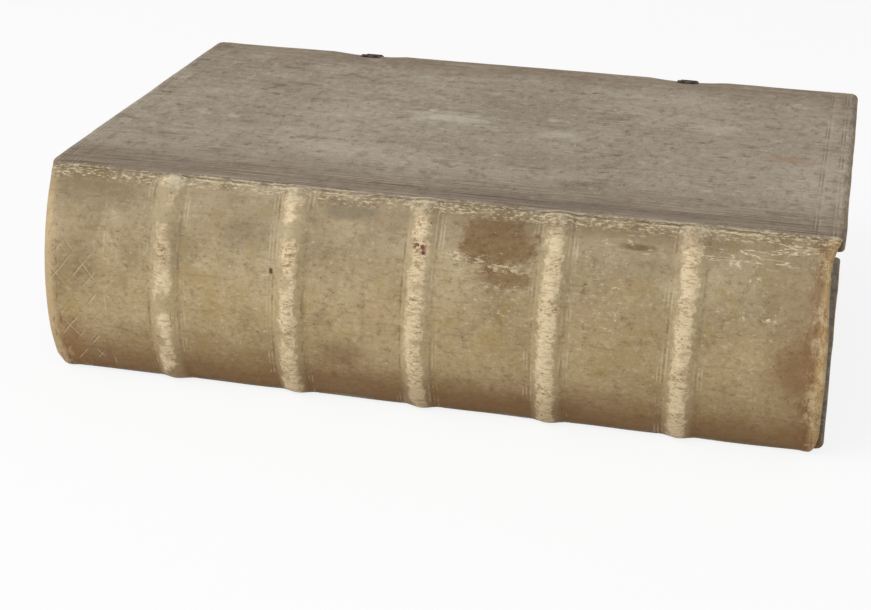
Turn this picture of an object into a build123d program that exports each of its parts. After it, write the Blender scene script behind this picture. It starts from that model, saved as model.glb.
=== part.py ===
from build123d import *
import math
import os

# Folio bound in leather over wooden boards, with raised bands on a rounded spine and two strap clasps.
# X runs along the spine with the head at -X, Y from the spine to the fore-edge, and Z up through the
# thickness. The origin is the middle of the back cover's resting face. Sizes are in millimetres.

# Closed book
cover_height = 380.0
cover_width = 250.0
book_thickness = 107.0

# Boards, their covering and the leaf pasted inside
board_thickness = 7.3
leather = 1.2
turn_in_thickness = 0.6
turn_in_width = 22.0
pastedown_thickness = 0.3
pastedown_margin = 6.0
corner_radius = 5.0
outer_edge_radius = 3.0
inner_edge_radius = 1.0
joint_gap = 0.2

# Text block
head_square = 7.0
fore_edge_square = 6.0
fore_edge_hollow = 15.0
leaf_play = 0.2

# Rounded spine and its caps
spine_round = 20.0
shoulder_radius = 7.0
spine_setback = 2.5
cap_depth = 6.5
spine_lining_gap = 0.3

# Raised bands over the flattened sewing cords
band_count = 5
end_panel = 65.4
band_width = 12.4
band_height = 3.2
band_sink = 0.3
band_flats = 5
cord_top_width = 4.4

# Cord ends laced into the boards
slip_width = 9.0
slip_thickness = 2.4
slip_length = 30.0
peg_width = 6.0

# Endbands sewn to the ends of the block
endband_diameter = 3.0
endband_play = 0.1
endband_facets = 8

# Clasps, shared places
clasp_spacing = 188.0
scoop_width = 46.0
scoop_depth = 1.4
scoop_reach = 24.0

# Clasp straps
strap_width = 30.0
strap_thickness = 2.2
strap_length = 46.0
strap_corner = 6.0
strap_floor_gap = 0.3
strap_seat_length = 32.0
strap_seat_play = 0.1
strap_fold_gap = 0.15
strap_notch_play = 1.5
strap_notch_depth = 2.0
strap_edge_gap = 0.5

# Clasp plates, with widths read across and stations read down from the top
plate_thickness = 1.3
plate_length = 82.0
plate_bevel = 0.3
plate_top_rise = 3.2
head_width = 14.0
head_chamfer = 2.5
head_station = 11.5
waist_width = 11.6
waist_station = 16.5
body_width = 18.0
body_station = 35.0
neck_width = 8.5
neck_station = 51.5
flare_width = 17.0
flare_station = 58.5
lower_neck_width = 10.4
lower_neck_station = 66.5
fishtail_width = 18.4
fishtail_station = 79.0
cusp_hollow = 1.2

# Hook of the clasp plate and its window in the catch
hook_width = 7.0
hook_thickness = 1.4
hook_bite = 3.2
hook_play = 0.7
hook_clearance = 0.5

# Catch plates
catch_thickness = 1.0
catch_proud = 0.4
catch_width = 12.0
catch_top_length = 8.0
catch_drop = 6.4
catch_bend_radius = 0.9
catch_end_radius = 3.0
latch_drop = 3.7
pocket_depth = 4.0

# Nails and rivets
nail_shank = 1.8
nail_head = 4.4
nail_facets = 8
nail_head_height = 0.5
strap_nail_length = 5.0
strap_nail_pitch = 9.0
strap_nail_inset = 12.0
catch_nail_head = 2.6
catch_nail_length = 4.5
catch_nail_pitch = 6.0
catch_nail_inset = 5.6
rivet_shank = 2.4
rivet_head = 5.0
rivet_facets = 8
rivet_dome = 1.0
rivet_burr = 4.0
rivet_burr_height = 0.6
upper_rivet_station = 62.5
lower_rivet_station = 74.0
hook_rivet_station = 6.0

# Places worked out from the sizes above
fore_edge = cover_width / 2
joint_line = -cover_width / 2
board_edge = joint_line + joint_gap / 2
spine_edge = joint_line - joint_gap / 2
mid_thickness = book_thickness / 2
inner_face = leather + board_thickness
cover_thickness = inner_face + pastedown_thickness
block_bottom = cover_thickness + leaf_play
block_top = book_thickness - block_bottom
block_half_length = cover_height / 2 - head_square
block_fore_edge = fore_edge - fore_edge_square
spine_half_length = cover_height / 2 - spine_setback
mid_plane = Plane.XY.offset(mid_thickness)
clasp_places = [-clasp_spacing / 2, clasp_spacing / 2]
clasp_names = ["head", "tail"]
band_pitch = (cover_height - 2 * end_panel) / (band_count - 1)
band_places = [band_pitch * (i - (band_count - 1) / 2) for i in range(band_count)]

# The back is one large arc that runs into a small shoulder arc at each joint, level with the covers
half_back = mid_thickness
spine_radius = (spine_round ** 2 + half_back ** 2 - 2 * half_back * shoulder_radius) / (
    2 * (spine_round - shoulder_radius)
)
spine_centre = spine_edge - spine_round + spine_radius
shoulder_angle = math.degrees(math.atan2(half_back - shoulder_radius, spine_centre - spine_edge))

# A band follows a deeper path, so that it rises from nothing at the joints
band_radius = band_width / 2
band_depth = band_radius - band_height
path_radius = spine_radius - band_depth
path_round = spine_round - band_depth
path_half = half_back - band_radius - band_sink
path_shoulder = (2 * path_radius * path_round - path_round ** 2 - path_half ** 2) / (
    2 * (path_radius - path_half)
)
path_angle = math.degrees(math.atan2(path_half - path_shoulder, spine_centre - spine_edge))

# A clasp's scoop is a shallow arc across the cover's edge
scoop_radius = ((scoop_width / 2) ** 2 + scoop_depth ** 2) / (2 * scoop_depth)

# The strap folds about an axis inside its own thickness, in a notch of the back cover's fore-edge
fold_y = fore_edge - strap_notch_depth + strap_edge_gap + strap_thickness / 2
fold_z = strap_floor_gap + strap_thickness / 2
latch_z = book_thickness - scoop_depth - latch_drop
catch_face = fore_edge + catch_proud
plate_face = fold_y + strap_thickness / 2
hook_reach = plate_face - catch_face + hook_bite
latch_arm = latch_z - fold_z
ajar_angle = math.degrees(math.asin((hook_bite + hook_clearance) / latch_arm))
plate_top = latch_arm + plate_top_rise

os.makedirs("parts", exist_ok=True)


def write(piece, name):
    """Label a finished piece and write its file."""
    piece.label = name
    export_step(piece, f"parts/{name}.step")


def spine_section(inset):
    """Section of the rounded back between the joints, shrunk by the inset."""
    turn = 90 - shoulder_angle
    with BuildSketch(Plane.YZ) as section:
        with BuildLine():
            CenterArc((spine_edge, book_thickness - shoulder_radius), shoulder_radius - inset, 90, turn)
            CenterArc((spine_centre, half_back), spine_radius - inset, 180 - shoulder_angle,
                      2 * shoulder_angle)
            CenterArc((spine_edge, shoulder_radius), shoulder_radius - inset, 270 - turn, turn)
            Line((spine_edge, inset), (spine_edge, book_thickness - inset))
        make_face()
    return section.sketch


def moulded(radius):
    """Half-round profile of a raised band, bulging to -y and eased in flats as leather is worked down."""
    step = math.pi / band_flats
    reach = radius / math.cos(step / 2)
    points = [(-reach * math.cos(step * i), -reach * math.sin(step * i)) for i in range(band_flats + 1)]
    with BuildSketch() as profile:
        with BuildLine():
            Polyline(*points, close=True)
        make_face()
    return profile.sketch


def flattened(radius):
    """Profile of a flattened cord that fits under a band, with its narrow side to -y."""
    top = cord_top_width / 2
    with BuildSketch() as profile:
        with BuildLine():
            Polyline((-radius, 0), (-top, -radius), (top, -radius), (radius, 0), close=True)
        make_face()
    return profile.sketch


def band_rod(place, profile):
    """Rod of one profile, turned over the back at a sewing station and level with the covers at its ends."""
    low = half_back - path_half
    turn = 90 - path_angle
    lean = math.radians(path_angle)
    joint_end = Plane(origin=(place, spine_edge, low), x_dir=(1, 0, 0), z_dir=(0, -1, 0))
    back_end = Plane(
        origin=(place, spine_centre - path_radius * math.cos(lean), half_back - path_radius * math.sin(lean)),
        x_dir=(1, 0, 0),
        z_dir=(0, -math.sin(lean), math.cos(lean)),
    )
    with BuildPart() as rod:
        with BuildSketch(joint_end):
            add(profile)
        revolve(axis=Axis((0, spine_edge, low + path_shoulder), (-1, 0, 0)), revolution_arc=turn)
        mirror(about=mid_plane)
        with BuildSketch(back_end):
            add(profile)
        revolve(axis=Axis((0, spine_centre, half_back), (-1, 0, 0)), revolution_arc=2 * path_angle)
    return rod.part


def scoop_plane(place):
    """Plane whose circle scoops the outer face of the back cover down to its fore-edge at a clasp."""
    run = Vector(0, scoop_reach, scoop_depth).normalized()
    up = Vector(0, -scoop_depth, scoop_reach).normalized()
    crest = Vector(place, fore_edge, scoop_depth)
    return Plane(origin=crest - up * scoop_radius, x_dir=(1, 0, 0), z_dir=run)


def cover_form(inset, ease):
    """Cover plate with eased outer edges and clasp scoops, shrunk by the inset on its covered sides."""
    with BuildPart() as form:
        with BuildSketch(Plane.XY.offset(inset)) as plan:
            with Locations((0, (board_edge + fore_edge - inset) / 2)):
                Rectangle(cover_height - 2 * inset, fore_edge - inset - board_edge)
            fillet(plan.vertices().group_by(Axis.Y)[-1], corner_radius - inset)
        extrude(amount=inner_face - inset)
        outer_edges = form.faces().sort_by(Axis.Z)[0].edges().sort_by(Axis.Y)[1:]
        ease(outer_edges, outer_edge_radius - inset)
        for place in clasp_places:
            with BuildSketch(scoop_plane(place)):
                Circle(scoop_radius + inset)
            extrude(amount=2 * scoop_reach, both=True, mode=Mode.SUBTRACT)
    return form.part


# Boards: planed oak planks with bevelled edges and a shallow rebate for the turned-in leather
board_form = cover_form(leather, chamfer)
with BuildPart() as board_blank:
    add(board_form)
    with BuildSketch(Plane.XY.offset(inner_face - turn_in_thickness)):
        Rectangle(cover_height, 2 * cover_width)
        with Locations((0, (fore_edge - turn_in_width - 2 * cover_width) / 2)):
            Rectangle(cover_height - 2 * turn_in_width, fore_edge - turn_in_width + 2 * cover_width,
                      mode=Mode.SUBTRACT)
    extrude(amount=turn_in_thickness, mode=Mode.SUBTRACT)

# Covering leather of one cover: a skin drawn over the board and turned in on three sides
leather_form = cover_form(0, fillet)
with BuildPart() as leather_blank:
    add(leather_form)
    inner_edges = leather_blank.faces().sort_by(Axis.Z)[-1].edges().sort_by(Axis.Y)[1:]
    fillet(inner_edges, inner_edge_radius)
    add(board_blank.part, mode=Mode.SUBTRACT)

# Cord slips of one cover: flattened cord ends in channels of the board, each wedged in a hole
with BuildPart() as slips_blank:
    with BuildSketch(Plane.XY.offset(leather)):
        with Locations([(place, board_edge + slip_length / 2) for place in band_places]):
            Rectangle(slip_width, slip_length)
    extrude(amount=slip_thickness)
    with BuildSketch(Plane.XY.offset(leather)):
        with Locations([(place, board_edge + slip_length - slip_width / 2) for place in band_places]):
            Rectangle(peg_width, peg_width)
    extrude(amount=board_thickness)

# Pastedown of one cover: a leaf over the board's inner face and most of the turn-ins
with BuildPart() as pastedown_blank:
    with BuildSketch(Plane.XY.offset(inner_face)):
        with Locations((0, (board_edge + fore_edge - pastedown_margin) / 2)):
            Rectangle(cover_height - 2 * pastedown_margin, fore_edge - pastedown_margin - board_edge)
    extrude(amount=pastedown_thickness)

# Strap ends: each strap is let into the back cover's outer face and runs out to its fold
strap_tail_end = fold_y - strap_thickness / 2 - strap_fold_gap
strap_anchors = []
for place in clasp_places:
    with BuildPart() as anchor:
        with BuildSketch(Plane.XY.offset(strap_floor_gap)):
            with Locations((place, strap_tail_end - strap_seat_length / 2)):
                Rectangle(strap_width, strap_seat_length)
        extrude(amount=strap_thickness)
    strap_anchors.append(anchor.part)

# Strap nails: three flat-headed nails through each strap end into the board
nail_spots = [
    (place + step * strap_nail_pitch, strap_tail_end - strap_nail_inset)
    for place in clasp_places
    for step in (-1, 0, 1)
]
with BuildPart() as strap_nails:
    with BuildSketch(Plane.XY.offset(strap_floor_gap)):
        with Locations(nail_spots):
            RegularPolygon(nail_head / 2, nail_facets)
    extrude(amount=nail_head_height)
    with BuildSketch(Plane.XY.offset(strap_floor_gap)):
        with Locations(nail_spots):
            Rectangle(nail_shank, nail_shank)
    extrude(amount=strap_nail_length)
write(strap_nails.part, "strap_nails")

for name, blank in zip(clasp_names, strap_anchors):
    with BuildPart() as anchor:
        add(blank)
        add(strap_nails.part, mode=Mode.SUBTRACT)
    write(anchor.part, f"{name}_strap_anchor")

# Room for the straps in the back cover: a seat in its outer face and a notch in its fore-edge
with BuildPart() as strap_room:
    with BuildSketch(Plane.XY):
        with Locations([(place, fore_edge - strap_seat_length / 2) for place in clasp_places]):
            Rectangle(strap_width + 2 * strap_seat_play, strap_seat_length + 2 * strap_notch_depth)
    extrude(amount=strap_floor_gap + strap_thickness + strap_seat_play)
    with BuildSketch(Plane.XY):
        with Locations([(place, fore_edge) for place in clasp_places]):
            Rectangle(strap_width + 2 * strap_notch_play, 2 * strap_notch_depth)
    extrude(amount=cover_thickness)

with BuildPart() as back_board:
    add(board_blank.part)
    add(slips_blank.part, mode=Mode.SUBTRACT)
    add(strap_room.part, mode=Mode.SUBTRACT)
    add(strap_nails.part, mode=Mode.SUBTRACT)
write(back_board.part, "back_board")

with BuildPart() as back_leather:
    add(leather_blank.part)
    add(strap_room.part, mode=Mode.SUBTRACT)
write(back_leather.part, "back_leather")

write(slips_blank.part, "back_cord_slips")
write(pastedown_blank.part, "back_pastedown")

# Sewing cords: stout cords across the back of the block, flattened under the leather
cord_profile = flattened(band_radius - leather)
cords = [band_rod(place, cord_profile) for place in band_places]
for number, cord in enumerate(cords, start=1):
    write(cord, f"sewing_cord_{number}")

# Text block: sewn leaves, rounded and backed, with shoulders as deep as the boards and a hollow fore-edge
block_back = spine_section(leather + spine_lining_gap)
with BuildPart() as text_block:
    with BuildSketch(Plane.YZ):
        with BuildLine():
            Polyline((block_fore_edge, block_bottom), (spine_edge, block_bottom), (spine_edge, block_top),
                     (block_fore_edge, block_top))
            ThreePointArc((block_fore_edge, block_top), (block_fore_edge - fore_edge_hollow, half_back),
                          (block_fore_edge, block_bottom))
        make_face()
    extrude(amount=block_half_length, both=True)
    extrude(block_back, amount=block_half_length, both=True)
    for cord in cords:
        add(cord, mode=Mode.SUBTRACT)
write(text_block.part, "text_block")

# Spine leather: the skin over the back, moulded round the cords and turned in at both caps
skin_outside = spine_section(0)
skin_inside = spine_section(leather)
band_profile = moulded(band_radius)
bands = [band_rod(place, band_profile) for place in band_places]
with BuildPart() as spine_leather:
    extrude(skin_outside, amount=spine_half_length, both=True)
    add(bands)
    extrude(skin_inside, amount=spine_half_length - leather, both=True, mode=Mode.SUBTRACT)
    for cord in cords:
        add(cord, mode=Mode.SUBTRACT)
    with BuildSketch(Plane.YZ):
        with Locations((spine_centre, half_back)):
            Circle(spine_radius - cap_depth)
    extrude(amount=cover_height, both=True, mode=Mode.SUBTRACT)
write(spine_leather.part, "spine_leather")

# Endbands: cores wound with thread that stand on the ends of the block, under the caps
endband_radius = endband_diameter / 2
endband_arc = spine_radius - leather - spine_lining_gap - endband_play - endband_radius
endband_angle = math.degrees(math.asin((half_back - block_bottom) / endband_arc))
for name, side in zip(clasp_names, (-1, 1)):
    place = side * (block_half_length + endband_play + endband_radius)
    lean = math.radians(endband_angle)
    low_end = Plane(
        origin=(place, spine_centre - endband_arc * math.cos(lean), half_back - endband_arc * math.sin(lean)),
        x_dir=(1, 0, 0),
        z_dir=(0, -math.sin(lean), math.cos(lean)),
    )
    with BuildPart() as endband:
        with BuildSketch(low_end):
            RegularPolygon(endband_radius, endband_facets)
        revolve(axis=Axis((0, spine_centre, half_back), (-1, 0, 0)), revolution_arc=2 * endband_angle)
    write(endband.part, f"{name}_endband")

# Catch plates: bent plates let into the front cover's fore-edge, each with a window for the hook
run = Vector(0, -scoop_reach, scoop_depth).normalized()
rise = Vector(0, scoop_depth, scoop_reach).normalized()
corner = Vector(0, catch_face, book_thickness - scoop_depth + catch_proud)
catch_plates = []
for place in clasp_places:
    with BuildPart() as catch_plate:
        with BuildSketch(Plane.YZ.offset(place)) as bend:
            with BuildLine():
                top_end = corner + run * catch_top_length
                inner_corner = corner - Vector(0, catch_thickness, 0) - rise * catch_thickness
                foot_z = corner.Z - catch_drop
                Polyline(
                    (corner.Y, foot_z),
                    (corner.Y, corner.Z),
                    (top_end.Y, top_end.Z),
                    (top_end.Y - rise.Y * catch_thickness, top_end.Z - rise.Z * catch_thickness),
                    (inner_corner.Y, inner_corner.Z),
                    (inner_corner.Y, foot_z),
                    close=True,
                )
            make_face()
            fillet(bend.vertices().group_by(Axis.X)[-1].sort_by(Axis.Y)[-1], catch_bend_radius)
        extrude(amount=catch_width / 2, both=True)
        end_face = catch_plate.faces().sort_by(Axis.Y)[0]
        fillet(end_face.edges().filter_by(Axis.X, reverse=True), catch_end_radius)
        with BuildSketch(Plane.XZ.offset(-fore_edge)):
            with Locations((place, latch_z)):
                Rectangle(hook_width + 2 * hook_play, hook_thickness + 2 * hook_play)
        extrude(amount=2 * catch_thickness, both=True, mode=Mode.SUBTRACT)
    catch_plates.append(catch_plate.part)

# Catch nails: two nails through the top of each catch plate
catch_nail_top = corner + run * catch_nail_inset
catch_solids = []
for place in clasp_places:
    for step in (-0.5, 0.5):
        spot = Vector(place + step * catch_nail_pitch, catch_nail_top.Y, catch_nail_top.Z)
        with BuildPart() as nail:
            with BuildSketch(Plane(origin=spot + rise * nail_head_height, x_dir=(1, 0, 0), z_dir=-rise)):
                RegularPolygon(catch_nail_head / 2, nail_facets)
            extrude(amount=nail_head_height, taper=-20)
            with BuildSketch(Plane(origin=spot, x_dir=(1, 0, 0), z_dir=-rise)):
                Rectangle(nail_shank, nail_shank)
            extrude(amount=catch_nail_length)
        catch_solids.append(nail.part)
with BuildPart() as catch_nails:
    add(catch_solids)
write(catch_nails.part, "catch_nails")

for name, blank in zip(clasp_names, catch_plates):
    with BuildPart() as catch_plate:
        add(blank)
        add(catch_nails.part, mode=Mode.SUBTRACT)
    write(catch_plate.part, f"{name}_catch_plate")

# Pockets behind the catch windows, where the hooks reach in
with BuildPart() as hook_pockets:
    with BuildSketch(Plane.XZ.offset(-catch_face)):
        with Locations([(place, latch_z) for place in clasp_places]):
            Rectangle(hook_width + 2 * hook_play, hook_thickness + 2 * hook_play)
    extrude(amount=catch_proud + pocket_depth)

# Front cover: the same board, leather, slips and pastedown, turned over
with BuildPart() as front_board:
    mirror(board_blank.part, about=mid_plane)
    mirror(slips_blank.part, about=mid_plane, mode=Mode.SUBTRACT)
    add(hook_pockets.part, mode=Mode.SUBTRACT)
    for catch_plate in catch_plates:
        add(catch_plate, mode=Mode.SUBTRACT)
    add(catch_nails.part, mode=Mode.SUBTRACT)
write(front_board.part, "front_board")

with BuildPart() as front_leather:
    mirror(leather_blank.part, about=mid_plane)
    add(hook_pockets.part, mode=Mode.SUBTRACT)
    for catch_plate in catch_plates:
        add(catch_plate, mode=Mode.SUBTRACT)
    add(catch_nails.part, mode=Mode.SUBTRACT)
write(front_leather.part, "front_leather")

with BuildPart() as front_cord_slips:
    mirror(slips_blank.part, about=mid_plane)
write(front_cord_slips.part, "front_cord_slips")

with BuildPart() as front_pastedown:
    mirror(pastedown_blank.part, about=mid_plane)
write(front_pastedown.part, "front_pastedown")


def clasp_plane(place, out):
    """Plane of a clasp standing ajar: x across, y up along the strap, z outwards, from its fold."""
    lean = math.radians(ajar_angle)
    outward = Vector(0, math.cos(lean), -math.sin(lean))
    return Plane(origin=Vector(place, fold_y, fold_z) + outward * out, x_dir=(-1, 0, 0), z_dir=outward)


def station(width, down):
    """Point on the right half of a clasp plate's outline."""
    return (width / 2, plate_top - down)


for name, place in zip(clasp_names, clasp_places):
    strap_back = clasp_plane(place, -strap_thickness / 2)
    strap_front = clasp_plane(place, strap_thickness / 2)

    # Rivets: two through the strap and one that holds the hook
    with BuildPart() as rivets:
        strap_spots = [(0, plate_top - upper_rivet_station), (0, plate_top - lower_rivet_station)]
        with BuildSketch(strap_back):
            with Locations(strap_spots):
                RegularPolygon(rivet_burr / 2, rivet_facets)
        extrude(amount=-rivet_burr_height)
        with BuildSketch(strap_back):
            with Locations(strap_spots):
                RegularPolygon(rivet_shank / 2, rivet_facets)
        extrude(amount=strap_thickness + plate_thickness)
        hook_spot = (0, plate_top - hook_rivet_station)
        with BuildSketch(strap_front):
            with Locations(hook_spot):
                RegularPolygon(rivet_shank / 2, rivet_facets)
        extrude(amount=plate_thickness)
        with BuildSketch(clasp_plane(place, strap_thickness / 2 + plate_thickness)):
            with Locations(strap_spots + [hook_spot]):
                RegularPolygon(rivet_head / 2, rivet_facets)
        extrude(amount=rivet_dome, taper=35)
    write(rivets.part, f"{name}_clasp_rivets")

    # Strap: tawed leather with clipped corners, rounded where it folds
    with BuildPart() as strap:
        with BuildSketch(strap_back) as outline:
            with Locations((0, strap_length / 2)):
                Rectangle(strap_width, strap_length)
            chamfer(outline.vertices().group_by(Axis.Y)[-1], strap_corner)
        extrude(amount=strap_thickness)
        with BuildSketch(Plane.YZ.offset(place)):
            with Locations((fold_y, fold_z)):
                Circle(strap_thickness / 2)
        extrude(amount=strap_width / 2, both=True)
        add(rivets.part, mode=Mode.SUBTRACT)
    write(strap.part, f"{name}_strap")

    # Clasp plate: sheet metal cut to a waisted outline with a three-pointed tail, and a hook turned in
    with BuildPart() as plate:
        with BuildSketch(strap_front):
            with BuildLine() as half:
                Polyline(
                    (0, plate_top),
                    station(head_width - 2 * head_chamfer, 0),
                    station(head_width, head_chamfer),
                    station(head_width, head_station),
                    station(waist_width, waist_station),
                )
                ThreePointArc(station(waist_width, waist_station), station(body_width, body_station),
                              station(neck_width, neck_station))
                SagittaArc(station(neck_width, neck_station), station(flare_width, flare_station), -cusp_hollow)
                SagittaArc(station(flare_width, flare_station), station(lower_neck_width, lower_neck_station),
                           -cusp_hollow)
                SagittaArc(station(lower_neck_width, lower_neck_station),
                           station(fishtail_width, fishtail_station), -cusp_hollow)
                SagittaArc(station(fishtail_width, fishtail_station), station(0, plate_length), -cusp_hollow)
                mirror(half.line, about=Plane.YZ)
            make_face()
        extrude(amount=plate_thickness)
        face_edges = plate.faces().sort_by(Axis.Y)[-1].outer_wire().edges()
        chamfer(face_edges, plate_bevel)
        with BuildSketch(strap_front):
            with Locations((0, latch_arm)):
                Rectangle(hook_width, hook_thickness)
        extrude(amount=-hook_reach)
        add(rivets.part, mode=Mode.SUBTRACT)
    write(plate.part, f"{name}_clasp_plate")
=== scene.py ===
import math
import random

import bmesh
import bpy
from mathutils import Matrix, Vector, noise


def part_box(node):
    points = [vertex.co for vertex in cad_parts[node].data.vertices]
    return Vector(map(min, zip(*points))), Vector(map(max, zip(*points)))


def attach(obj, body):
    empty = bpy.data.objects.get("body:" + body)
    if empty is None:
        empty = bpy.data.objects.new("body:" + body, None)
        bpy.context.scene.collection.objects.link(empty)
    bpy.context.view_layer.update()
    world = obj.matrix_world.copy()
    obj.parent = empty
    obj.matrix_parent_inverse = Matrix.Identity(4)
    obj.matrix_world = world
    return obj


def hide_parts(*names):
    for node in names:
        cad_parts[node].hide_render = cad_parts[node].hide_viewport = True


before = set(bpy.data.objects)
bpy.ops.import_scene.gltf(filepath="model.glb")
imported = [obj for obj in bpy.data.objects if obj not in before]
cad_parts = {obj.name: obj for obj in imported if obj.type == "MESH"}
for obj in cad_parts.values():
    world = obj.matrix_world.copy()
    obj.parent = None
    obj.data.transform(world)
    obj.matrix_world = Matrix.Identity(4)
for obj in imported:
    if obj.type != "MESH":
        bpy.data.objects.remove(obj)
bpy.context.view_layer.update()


# Boards of the covers. Planed oak planks under the leather, bare along the spine edge and in the
# clasp pockets. They keep their modelled shape and get the look of old quartered oak.


def srgb(red, green, blue):
    """Colour read off a screen, 0 to 255, as the linear colour that a shader takes."""
    def linear(value):
        value /= 255
        return value / 12.92 if value <= 0.04045 else ((value + 0.055) / 1.055) ** 2.4
    return (linear(red), linear(green), linear(blue), 1.0)


class Finish:
    """A procedural finish, put together as a chain of nodes on the piece's own coordinates in metres."""

    def __init__(self, name, specular=0.35, metallic=0.0):
        self.material = bpy.data.materials.new(name)
        self.material.use_nodes = True
        self.tree = self.material.node_tree
        self.shader = self.tree.nodes["Principled BSDF"]
        self.shader.inputs["Specular IOR Level"].default_value = specular
        self.shader.inputs["Metallic"].default_value = metallic
        self.place = self.tree.nodes.new("ShaderNodeTexCoord").outputs["Object"]

    def put(self, socket, value):
        """Sets a socket, or links it where the value is another node's output."""
        if isinstance(value, bpy.types.NodeSocket):
            self.tree.links.new(value, socket)
        else:
            socket.default_value = value

    def sum(self, operation, first, second=0.0, third=0.0):
        node = self.tree.nodes.new("ShaderNodeMath")
        node.operation = operation
        self.put(node.inputs[0], first)
        self.put(node.inputs[1], second)
        self.put(node.inputs[2], third)
        return node.outputs[0]

    def times(self, first, second):
        return self.sum("MULTIPLY", first, second)

    def plus(self, first, second):
        return self.sum("ADD", first, second)

    def minus(self, first, second):
        return self.sum("SUBTRACT", first, second)

    def either(self, first, second):
        return self.sum("MAXIMUM", first, second)

    def gap(self, value, place=0.0):
        """How far a value is from a place, on either side."""
        return self.sum("ABSOLUTE", self.minus(value, place))

    def axes(self):
        """X, Y and Z of the place, each as a number."""
        node = self.tree.nodes.new("ShaderNodeSeparateXYZ")
        self.put(node.inputs[0], self.place)
        return node.outputs

    def stretched(self, sizes, turn=(0, 0, 0), shift=(0, 0, 0)):
        """The place, in units of a pattern's sizes along each axis."""
        sizes = sizes if isinstance(sizes, tuple) else (sizes,) * 3
        node = self.tree.nodes.new("ShaderNodeMapping")
        node.vector_type = "POINT"
        self.put(node.inputs["Vector"], self.place)
        node.inputs["Location"].default_value = shift
        node.inputs["Rotation"].default_value = turn
        node.inputs["Scale"].default_value = [1 / size for size in sizes]
        return node.outputs[0]

    def cloud(self, sizes, detail=3.0, rough=0.55, twist=0.0, turn=(0, 0, 0), shift=(0, 0, 0)):
        """Soft random pattern from 0 to 1, of that size in metres along each axis."""
        node = self.tree.nodes.new("ShaderNodeTexNoise")
        self.put(node.inputs["Vector"], self.stretched(sizes, turn, shift))
        node.inputs["Scale"].default_value = 1.0
        node.inputs["Detail"].default_value = detail
        node.inputs["Roughness"].default_value = rough
        node.inputs["Distortion"].default_value = twist
        return node.outputs["Fac"]

    def cells(self, sizes, shift=(0, 0, 0)):
        """Cell pattern of that size in metres, as the distance to the middle of a cell."""
        node = self.tree.nodes.new("ShaderNodeTexVoronoi")
        node.feature = "F1"
        self.put(node.inputs["Vector"], self.stretched(sizes, shift=shift))
        node.inputs["Scale"].default_value = 1.0
        return node.outputs["Distance"]

    def ease(self, value, start, stop, low=0.0, high=1.0):
        """Smooth step of a value between two limits."""
        node = self.tree.nodes.new("ShaderNodeMapRange")
        node.interpolation_type = "SMOOTHSTEP"
        self.put(node.inputs["Value"], value)
        node.inputs["From Min"].default_value = min(start, stop)
        node.inputs["From Max"].default_value = max(start, stop)
        node.inputs["To Min"].default_value = low if start < stop else high
        node.inputs["To Max"].default_value = high if start < stop else low
        return node.outputs[0]

    def tint(self, factor, base, other, strength=1.0):
        """Lays one colour over another by a factor, up to a strength."""
        node = self.tree.nodes.new("ShaderNodeMix")
        node.data_type = "RGBA"
        if strength != 1.0:
            factor = self.times(factor, strength)
        self.put(node.inputs["Factor"], factor)
        self.put(node.inputs["A"], base)
        self.put(node.inputs["B"], other)
        return node.outputs["Result"]

    def layers(self, tone, *rows, within=None):
        """Lays colours over a tone, each by a pattern between two limits and up to a strength."""
        for pattern, start, stop, colour, strength in rows:
            mask = self.ease(pattern, start, stop)
            if within is not None:
                mask = self.times(within, mask)
            tone = self.tint(mask, tone, srgb(*colour), strength)
        return tone

    def attribute(self, name):
        node = self.tree.nodes.new("ShaderNodeAttribute")
        node.attribute_name = name
        return node.outputs["Fac"]

    def bump(self, height, depth, strength=1.0, below=None):
        """Fine relief of that depth in metres, on top of another one if given."""
        node = self.tree.nodes.new("ShaderNodeBump")
        node.inputs["Strength"].default_value = strength
        node.inputs["Distance"].default_value = depth
        self.put(node.inputs["Height"], height)
        if below is not None:
            self.put(node.inputs["Normal"], below)
        return node.outputs[0]

    def done(self, colour, roughness, normal=None):
        self.put(self.shader.inputs["Base Color"], colour)
        self.put(self.shader.inputs["Roughness"], roughness)
        if normal is not None:
            self.put(self.shader.inputs["Normal"], normal)
        return self.material


def coat(piece, *materials):
    """Gives a piece its finishes in place of those it has."""
    piece.data.materials.clear()
    for material in materials:
        piece.data.materials.append(material)


oak = Finish("old_oak", specular=0.25)
oak_grain = oak.cloud((0.16, 0.0022, 0.004), detail=5, rough=0.6, twist=0.4)
oak_rays = oak.cloud((0.012, 0.0007, 0.003), detail=2, shift=(3, 1, 0))
oak_tone = oak.layers(
    srgb(92, 66, 42),
    (oak_grain, 0.35, 0.65, (142, 108, 72), 1.0),
    (oak_rays, 0.60, 0.72, (168, 134, 94), 0.5),
    (oak.cloud(0.03, detail=4), 0.50, 0.75, (64, 46, 30), 0.6),
)
old_oak = oak.done(oak_tone, oak.ease(oak_grain, 0.3, 0.7, 0.6, 0.8), oak.bump(oak_grain, 0.0004, 0.6))
for board in ("back_board", "front_board"):
    coat(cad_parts[board], old_oak)


# Sewing cords and their ends laced into the boards. Doubled hemp cord, flattened where it lies under
# the leather and pegged through the board.
hemp = Finish("hemp_cord", specular=0.15)
hemp_twist = hemp.cloud((0.0011, 0.006, 0.006), detail=3, twist=0.8, turn=(0, 0, 0.6))
hemp_tone = hemp.layers(
    srgb(132, 108, 74),
    (hemp_twist, 0.35, 0.65, (190, 168, 126), 1.0),
    (hemp.cloud(0.012, detail=4), 0.50, 0.75, (96, 76, 52), 0.5),
)
hemp_cord = hemp.done(hemp_tone, 0.85, hemp.bump(hemp_twist, 0.0005, 0.8))
for cord in ("back_cord_slips", "front_cord_slips", *[f"sewing_cord_{number}" for number in range(1, 6)]):
    coat(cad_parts[cord], hemp_cord)


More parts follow.
